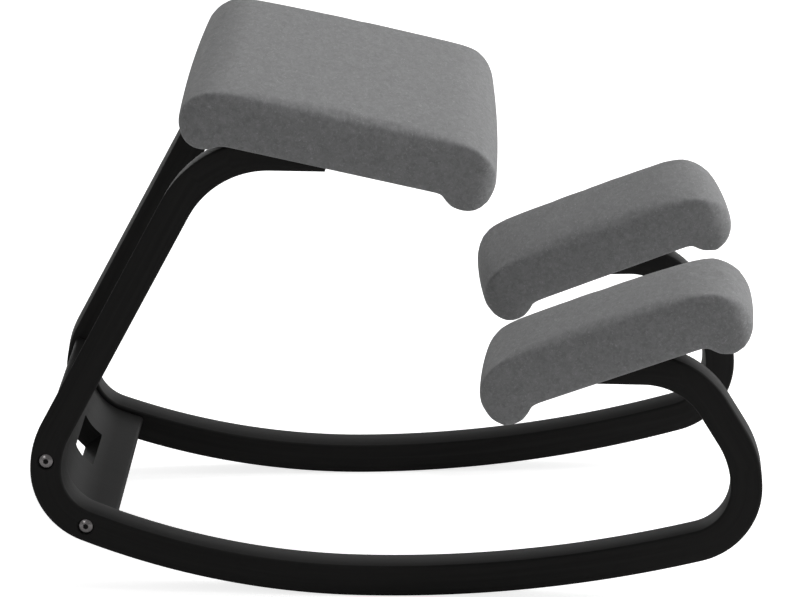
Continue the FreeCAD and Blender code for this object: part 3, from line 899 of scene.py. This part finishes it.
def slot_cutter(path):
    size = settings("frame")
    point, outward = spot_along(path, rearmost_distance(path) + size.slot_below)
    through = 2 * size.stretcher_thickness
    cutter = primitive("cube", "slot_cutter", (through, size.slot_length, size.slot_height), size=1.0,
                       location=Vector((point[0], 0.0, point[1])) + stretcher_shift(path),
                       rotation=(0.0, -outward, 0.0))
    edit(cutter)
    pick(cutter, "EDGE", lambda edge: abs(math.dist(*ends_of(edge)) - through) < TOUCH)
    round_edges(size.slot_corner, 5)
    leave_edit()
    return cutter


# Bolts and screws
def build_fixing(kind, reach):
    """Button-head bolt or screw along +Z, its head's underside at 0, with a hexagon socket."""
    size = settings("fixings")
    head, height, dome = (getattr(size, f"{kind}_{part}") for part in ("head", "head_height", "dome"))
    bow = ((head / 2) ** 2 + dome ** 2) / (2 * dome)
    corner = size.socket / math.sqrt(3)
    point = size.socket / 2
    rim = corner + 2 * size.socket_rim
    obj = rod(kind, head / 2, Matrix(), -height, 0.0)
    boolean(obj, primitive("uv_sphere", "dome", segments=48, ring_count=96, radius=bow,
                           location=(0.0, 0.0, bow - height)), "INTERSECT")
    edit(obj)
    pick(obj, "FACE", lambda face: face.normal.z > FLAT)
    bpy.ops.mesh.inset(thickness=(head - size.shank) / 2)
    bpy.ops.mesh.extrude_region_move(TRANSFORM_OT_translate={"value": (0.0, 0.0, reach)})
    leave_edit()
    face_outwards(obj)
    boolean(obj, rod("socket", corner, Matrix(), -2 * height, size.socket_depth - height, 6))
    for radius, level in ((point, size.socket_depth - height - TOUCH),
                          (rim, -height - size.socket_rim)):
        boolean(obj, primitive("cone", "cone", vertices=48, radius1=radius, radius2=0.0, depth=radius,
                               location=(0.0, 0.0, level + radius / 2)))
    return obj


def place_copies(pattern, places, name, both):
    """Copies of a fixing at its places, on both sides of the chair where asked, as one piece."""
    copies = []
    for number, place in enumerate(places):
        made = copy_of(pattern, f"{name}_{number}")
        move_mesh(made, place)
        copies.append(made)
        if both:
            copies.append(mirrored_copy(made, f"{name}_{number}_left"))
    remove(pattern)
    return joined(copies, name)


# Pads, in their own frame: X along the slope, Z square to it, the underside at 0
def pad_box(pad, end=0.0, side=0.0):
    """Limits of a pad in plan, drawn in at its ends and sides."""
    return (-pad.behind + end, pad.ahead - end, -pad.outwards + side, pad.width - pad.outwards - side)


def box_middle(box):
    return (box[0] + box[1]) / 2, (box[2] + box[3]) / 2


def box_span(box):
    return box[1] - box[0], box[3] - box[2]


def pad_top():
    return settings("covers").height - settings("covers").slack


def pad_outline(pad):
    """The way round a pad's side from its underside at the front to its underside at the rear."""
    top = pad_top()
    front_r = pad.front_roll
    rear_r = pad.rear_roll
    front = (pad.ahead - front_r, front_r - pad.front_drop)
    rear = (-pad.behind + rear_r, rear_r - pad.rear_drop)
    front_foot = math.asin(front[1] / front_r)
    rear_foot = math.asin(rear[1] / rear_r)
    front_shoulder = top - front[1]
    rear_shoulder = top - rear[1]
    front_crest = (front[0] + front_r - front_shoulder, front[1])
    rear_crest = (rear[0] - rear_r + rear_shoulder, rear[1])
    return [
        Arc(front, front_r, math.pi + front_foot, math.tau),
        Arc(front_crest, front_shoulder, 0.0, QUARTER),
        Run((front_crest[0], top), (rear_crest[0], top)),
        Arc(rear_crest, rear_shoulder, QUARTER, math.pi),
        Arc(rear, rear_r, math.pi, math.tau - rear_foot),
    ]


def build_pad(name, pad):
    """Closed soft form: outline drawn across the pad, crossed with its rounded plan, swollen."""
    outline = pad_outline(pad)
    front_foot, rear_foot = end_spots(outline)
    sides = pad_box(pad)[2:]
    obj = primitive("plane", name, (front_foot[0] - rear_foot[0], pad.width, 1.0), size=1.0,
                    location=((front_foot[0] + rear_foot[0]) / 2, sum(sides) / 2, 0.0))
    edit(obj)
    pick(obj, "EDGE", lambda edge: all(abs(end.x - front_foot[0]) < TOUCH for end in ends_of(edge)))
    follow(outline, lambda piece: PAD_FACET)
    bpy.ops.mesh.select_all(action="SELECT")
    bpy.ops.mesh.remove_doubles(threshold=2 * TOUCH)
    for side in sides:
        pick(obj, "EDGE", lambda edge: edge.is_boundary
             and all(abs(end.y - side) < TOUCH for end in ends_of(edge)))
        bpy.ops.mesh.edge_face_add()
    turn_outwards()
    leave_edit()
    boolean(obj, plan_block(pad), "INTERSECT")
    soften(obj)
    shape_ends(obj, pad)
    return obj


def shape_ends(obj, pad):
    """Bows the pad's two ends out between its corners and lets its top fall towards its edges."""
    box = pad_box(pad)
    middle, centre = box_middle(box)
    full_height = settings("covers").height
    for vertex in obj.data.vertices:
        along = (vertex.co.x - middle) / (box_span(box)[0] / 2)
        across = min(max((vertex.co.y - centre) / (box_span(box)[1] / 2), -1.0), 1.0)
        share = max(0.0, abs(along) - BOWED_FROM) / (1.0 - BOWED_FROM)
        height = max(vertex.co.z, 0.0) / full_height
        fall = pad.front_fall if along > 0.0 else pad.rear_fall
        fall = fall * along ** 2 + pad.inner_fall * max(across, 0.0) ** 2
        vertex.co.x += math.copysign(pad.bow * share ** 2 * (1.0 - across ** 2), along)
        vertex.co.z -= fall * height ** 2


def plan_block(pad):
    """Block with the pad's rounded corners in plan and its rounded upper edges."""
    size = settings("covers")
    low = -size.height
    top = pad_top()
    box = pad_box(pad)
    block = primitive("cube", "plan_block", (*box_span(box), top - low), size=1.0,
                      location=(*box_middle(box), (low + top) / 2))

    def is_upright(edge):
        first, second = ends_of(edge)
        return abs(first.z - second.z) > size.height / 2

    def is_long_ridge(edge):
        first, second = ends_of(edge)
        return max(abs(first.z - top), abs(second.z - top), abs(first.y - second.y)) < TOUCH

    edit(block)
    pick(block, "EDGE", is_upright)
    round_edges(pad.corner, 10)
    pick(block, "EDGE", is_long_ridge)
    round_edges(size.ridge, 8, clamp_overlap=False)
    leave_edit()
    return block


def soften(obj):
    """Swells the pad like cloth over foam, held where it lies on its board."""
    activate(obj)
    obj.data.remesh_voxel_size = settings("covers").mesh_size
    bpy.ops.object.voxel_remesh()
    apply_modifier(obj, "SMOOTH", factor=0.5, iterations=3)
    swell(obj)
    apply_modifier(obj, "SUBSURF", levels=1, render_levels=1)


def is_underside(vertex):
    return abs(vertex.co.z) < UNDERSIDE_REACH and vertex.normal.z < -FLAT


def swell(obj):
    size = settings("covers")
    before = [vertex.co.copy() for vertex in obj.data.vertices]
    held = obj.vertex_groups.new(name="held")
    held.add([vertex.index for vertex in obj.data.vertices if is_underside(vertex)], 1.0, "REPLACE")
    activate(obj)
    cloth = obj.modifiers.new("Cloth", "CLOTH")
    cloth.settings.use_pressure = True
    cloth.settings.uniform_pressure_force = size.pressure
    cloth.settings.vertex_group_mass = "held"
    cloth.settings.effector_weights.gravity = 0.0
    for number in range(1, size.swell_steps + 1):
        bpy.context.scene.frame_set(number)
    bpy.ops.object.modifier_apply(modifier=cloth.name)
    bpy.context.scene.frame_set(1)
    moved = [vertex.co - start for vertex, start in zip(obj.data.vertices, before)]
    print(obj.name, "swelled by up to", round(max(move.length for move in moved) / MM, 1), "mm")
    for vertex, start, move in zip(obj.data.vertices, before, moved):
        limited = size.swell * math.tanh(move.length / size.swell)
        vertex.co = start + move * limited / max(move.length, 1e-9)
    obj.vertex_groups.clear()


# Linings and staples
def build_lining(name, pad, place):
    """Thin cloth stretched over the opening under a board."""
    size = settings("covers")
    box = pad_box(pad, size.lining_end, size.lining_side)
    obj = primitive("grid", name, (*box_span(box), 1.0), size=1.0, x_subdivisions=48, y_subdivisions=48,
                    location=(*box_middle(box), 0.0))
    for vertex in obj.data.vertices:
        vertex.co = stretched_cloth(vertex.co, box, size.lining_corner)
    apply_modifier(obj, "SOLIDIFY", thickness=size.lining_thickness, offset=0.0)
    move_mesh(obj, place)
    face_outwards(obj)
    smooth(obj, 60.0)
    return obj, box_span(box)


def stretched_cloth(point, box, corner):
    """Rounds the cloth's corners and gives it slight pull lines."""
    x0, x1, y0, y1 = box
    nearest = Vector((min(max(point.x, x0 + corner), x1 - corner),
                      min(max(point.y, y0 + corner), y1 - corner), 0.0))
    away = Vector((point.x, point.y, 0.0)) - nearest
    reach = max(abs(away.x), abs(away.y))
    if away.length > reach:
        away *= reach / away.length
    edge = min(point.x - x0, x1 - point.x, point.y - y0, y1 - point.y)
    wave = noise.noise(Vector((point.x * RIPPLE_SCALE, point.y * RIPPLE_SCALE, 2.0)))
    ripple = wave * min(edge, RIPPLE_EDGE) * RIPPLE_SHARE
    return Vector((nearest.x + away.x, nearest.y + away.y, ripple + LINING_LEVEL))


def staple_spots(box, pitch):
    """Points along the four sides of a box, and each side's direction."""
    x0, x1, y0, y1 = box
    corners = ((x0, y0), (x1, y0), (x1, y1), (x0, y1))
    spots = []
    for start, end in zip(corners, (*corners[1:], corners[0])):
        count = max(2, int(math.dist(start, end) / pitch - 1.0))
        for number in range(count):
            share = (number + 0.5) / count
            spots.append((start[0] + (end[0] - start[0]) * share,
                          start[1] + (end[1] - start[1]) * share, heading(start, end)))
    return spots


def build_staples(name, pad, place, taken):
    """Staples round the lining's edge, left out where a runner lies."""
    size = settings("covers")
    fixing = settings("fixings")
    wire = fixing.staple_wire
    box = pad_box(pad, size.lining_end + fixing.staple_inset, size.lining_side + fixing.staple_inset)
    pattern = primitive("cube", name + "_pattern", (fixing.staple_crown, wire, wire), size=1.0)
    edit(pattern)
    round_edges(wire / 4, 1)
    leave_edit()
    copies = []
    for number, (x, y, turn) in enumerate(staple_spots(box, fixing.staple_pitch)):
        if taken(x, y):
            continue
        made = copy_of(pattern, f"{name}_{number}")
        tilt = Matrix.Rotation(turn + STAPLE_TILT * math.sin(5.0 * number), 4, "Z")
        move_mesh(made, place @ Matrix.Translation((x, y, STAPLE_LEVEL)) @ tilt)
        copies.append(made)
    remove(pattern)
    return joined(copies, name)


# Operators, one for each piece or group of like pieces
class CHAIR_OT_stage(bpy.types.Operator):
    """Sets the floor, the soft light and the camera"""
    bl_idname = "chair.stage"
    bl_label = "Stage"

    def execute(self, context):
        scene = context.scene
        floor = primitive("plane", "studio_floor", size=FLOOR_SIZE)
        floor.data.materials.append(floor_finish())
        light_studio(scene)
        turn = (math.radians(90.0 - CAMERA_DIP), 0.0, math.radians(CAMERA_TURN))
        bpy.ops.object.camera_add(location=CAMERA_PLACE, rotation=turn)
        camera = bpy.context.active_object
        camera.name = "camera"
        camera.data.sensor_width = SENSOR_WIDTH
        camera.data.lens = CAMERA_LENS
        scene.camera = camera
        scene.view_settings.view_transform = "Standard"
        return {"FINISHED"}


def light_studio(scene):
    """Lamps above, ahead, low behind and beside the camera, and a white surround."""
    for name, place, size, power in LAMPS:
        turn = (LAMP_AIM - Vector(place)).to_track_quat("-Z", "Y").to_euler()
        bpy.ops.object.light_add(type="AREA", location=place, rotation=turn)
        lamp = bpy.context.active_object
        lamp.name = "lamp_" + name
        lamp.data.shape = "RECTANGLE"
        lamp.data.size, lamp.data.size_y = size
        lamp.data.energy = power
        lamp.visible_camera = False
    world = bpy.data.worlds.new("surround")
    scene.world = world
    world.use_nodes = True
    tree = world.node_tree
    seen = node(tree, "LightPath").outputs["Is Camera Ray"]
    fill_inputs(tree, tree.nodes["Background"],
                {"Color": (1.0, 1.0, 1.0, 1.0), "Strength": spread(tree, seen, AMBIENT, 1.0)})


class CHAIR_OT_runners(bpy.types.Operator):
    """Bends the two runners from their cross-section and cuts their ends to the pads' slopes"""
    bl_idname = "chair.runners"
    bl_label = "Runners"

    def execute(self, context):
        path = runner_path()
        material = stained_wood()
        right = build_runner(path)
        left = mirrored_copy(right, "runner_left_finish")
        for obj, side, node_name in ((right, 1.0, "runner_right"), (left, -1.0, "runner_left")):
            mark_bend(obj, path, runner_place(path), side)
            smooth(obj)
            finish_piece(obj, material, "stained_beech", node_name)
        return {"FINISHED"}


class CHAIR_OT_stretcher(bpy.types.Operator):
    """Bends the rear stretcher, trims it to the runners and cuts its hand slot"""
    bl_idname = "chair.stretcher"
    bl_label = "Rear stretcher"

    def execute(self, context):
        path = runner_path()
        obj = build_stretcher(path)
        mark_bend(obj, path, Matrix.Translation(stretcher_shift(path)))
        smooth(obj)
        finish_piece(obj, bpy.data.materials["black_stained_beech"], "stained_beech", "rear_stretcher")
        return {"FINISHED"}


class CHAIR_OT_fixings(bpy.types.Operator):
    """Turns the stretcher bolts and the board screws"""
    bl_idname = "chair.fixings"
    bl_label = "Bolts and screws"

    def execute(self, context):
        size = settings("fixings")
        path = runner_path()
        steel = metal("bolt_steel", settings("finishes").steel, 0.18, 0.28)
        through = settings("frame").runner_width - size.recess_depth + size.bolt_reach
        seat_screws, knee_screws = screw_places(path)
        for kind, reach, places, name, both in (
                ("bolt", through, bolt_places(path), "stretcher_bolts", True),
                ("screw", size.screw_grip + size.screw_length, seat_screws, "seat_screws", False),
                ("screw", size.screw_grip + size.screw_length, knee_screws, "knee_screws", True)):
            fixings = place_copies(build_fixing(kind, reach), places, name + "_finish", both)
            finish_piece(fixings, steel, "zinc_steel", name)
        return {"FINISHED"}


class CHAIR_OT_seat(bpy.types.Operator):
    """Makes the seat's felt pad"""
    bl_idname = "chair.seat"
    bl_label = "Seat pad"

    def execute(self, context):
        obj = build_pad("seat_pad", settings("seat"))
        move_mesh(obj, seat_place(runner_path()))
        smooth(obj, 180.0)
        finish_piece(obj, felt(), "grey_felt", "seat_cover", "seat_foam")
        return {"FINISHED"}


class CHAIR_OT_knees(bpy.types.Operator):
    """Makes the right knee pad and its mirrored copy"""
    bl_idname = "chair.knees"
    bl_label = "Knee pads"

    def execute(self, context):
        right = build_pad("knee_pad_right", settings("knee"))
        move_mesh(right, knee_place(runner_path()))
        left = mirrored_copy(right, "knee_pad_left")
        for obj, side in ((right, "right"), (left, "left")):
            smooth(obj, 180.0)
            finish_piece(obj, bpy.data.materials["wool_felt"], "grey_felt", "knee_cover_" + side,
                         "knee_foam_" + side)
        return {"FINISHED"}


class CHAIR_OT_linings(bpy.types.Operator):
    """Stretches the linings under the boards and staples them"""
    bl_idname = "chair.linings"
    bl_label = "Linings and staples"

    def execute(self, context):
        path = runner_path()
        cloth = lining_cloth()
        wire = metal("staple_wire", settings("finishes").zinc, 0.3, 0.45)
        gap = settings("fixings").staple_gap
        runners = [abs(spot.y) for spot in seat_screw_spots(path)]
        reach = settings("frame").runner_width * RUNNER_SHARE

        def under_seat(x, y):
            return x < gap and min(abs(abs(y) - place) for place in runners) < reach

        def under_knee(x, y):
            return x > -gap and abs(y) < reach

        lining, flat = build_lining("seat_lining", settings("seat"), seat_place(path))
        finish_piece(lining, cloth, "black_lining", "seat_liner")
        staples = build_staples("seat_staples", settings("seat"), seat_place(path), under_seat)
        finish_piece(staples, wire, "zinc_steel")
        knee = settings("knee")
        right, flat = build_lining("knee_lining_right", knee, knee_place(path))
        right_staples = build_staples("knee_staples_right", knee, knee_place(path), under_knee)
        sides = ((right, right_staples, "right"),
                 (mirrored_copy(right, "knee_lining_left"),
                  mirrored_copy(right_staples, "knee_staples_left"), "left"))
        for lining, staples, side in sides:
            finish_piece(lining, cloth, "black_lining", "knee_liner_" + side)
            finish_piece(staples, wire, "zinc_steel")
        return {"FINISHED"}


class CHAIR_OT_hidden(bpy.types.Operator):
    """Gives the boards, the tee nuts and the threaded inserts their finishes"""
    bl_idname = "chair.hidden"
    bl_label = "Boards, nuts and inserts"

    def execute(self, context):
        size = settings("frame")
        zinc = metal("zinc_plate", settings("finishes").zinc, 0.32, 0.5)
        seat_plywood = plywood("seat_plywood", size.seat_slope)
        knee_plywood = plywood("knee_plywood", -size.knee_slope)
        finishes = {"seat_board": seat_plywood, "knee_board_right": knee_plywood,
                    "knee_board_left": knee_plywood, "seat_tee_nuts": zinc, "knee_tee_nuts": zinc,
                    "stretcher_inserts": zinc}
        for name, material in finishes.items():
            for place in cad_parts[name].material_slots:
                place.material = material
        return {"FINISHED"}


class CHAIR_PT_sidebar(bpy.types.Panel):
    """Sizes, finishes and the pieces that can be made"""
    bl_idname = "CHAIR_PT_sidebar"
    bl_label = "Kneeling Chair"
    bl_space_type = "VIEW_3D"
    bl_region_type = "UI"
    bl_category = "Chair"

    def draw(self, context):
        column = self.layout.column(align=True)
        for operator in OPERATORS:
            column.operator(operator.bl_idname)
        for name, group in SETTINGS.items():
            box = self.layout.box()
            box.label(text=group.__doc__)
            for key in group.__annotations__:
                box.prop(getattr(context.scene, name), key)


OPERATORS = (CHAIR_OT_stage, CHAIR_OT_runners, CHAIR_OT_stretcher, CHAIR_OT_fixings, CHAIR_OT_seat,
             CHAIR_OT_knees, CHAIR_OT_linings, CHAIR_OT_hidden)
CLASSES = (*SETTINGS.values(), *OPERATORS, CHAIR_PT_sidebar)


def register():
    for group in SETTINGS.values():
        for key, field in group.__annotations__.items():
            field.keywords["name"] = key.replace("_", " ").capitalize()
    for item in CLASSES:
        bpy.utils.register_class(item)
    for name, group in SETTINGS.items():
        setattr(bpy.types.Scene, name, PointerProperty(type=group))


def unregister():
    for name in SETTINGS:
        delattr(bpy.types.Scene, name)
    for item in reversed(CLASSES):
        bpy.utils.unregister_class(item)


def main():
    register()
    for operator in OPERATORS:
        group, name = operator.bl_idname.split(".")
        getattr(getattr(bpy.ops, group), name)()


if __name__ == "__main__":
    main()
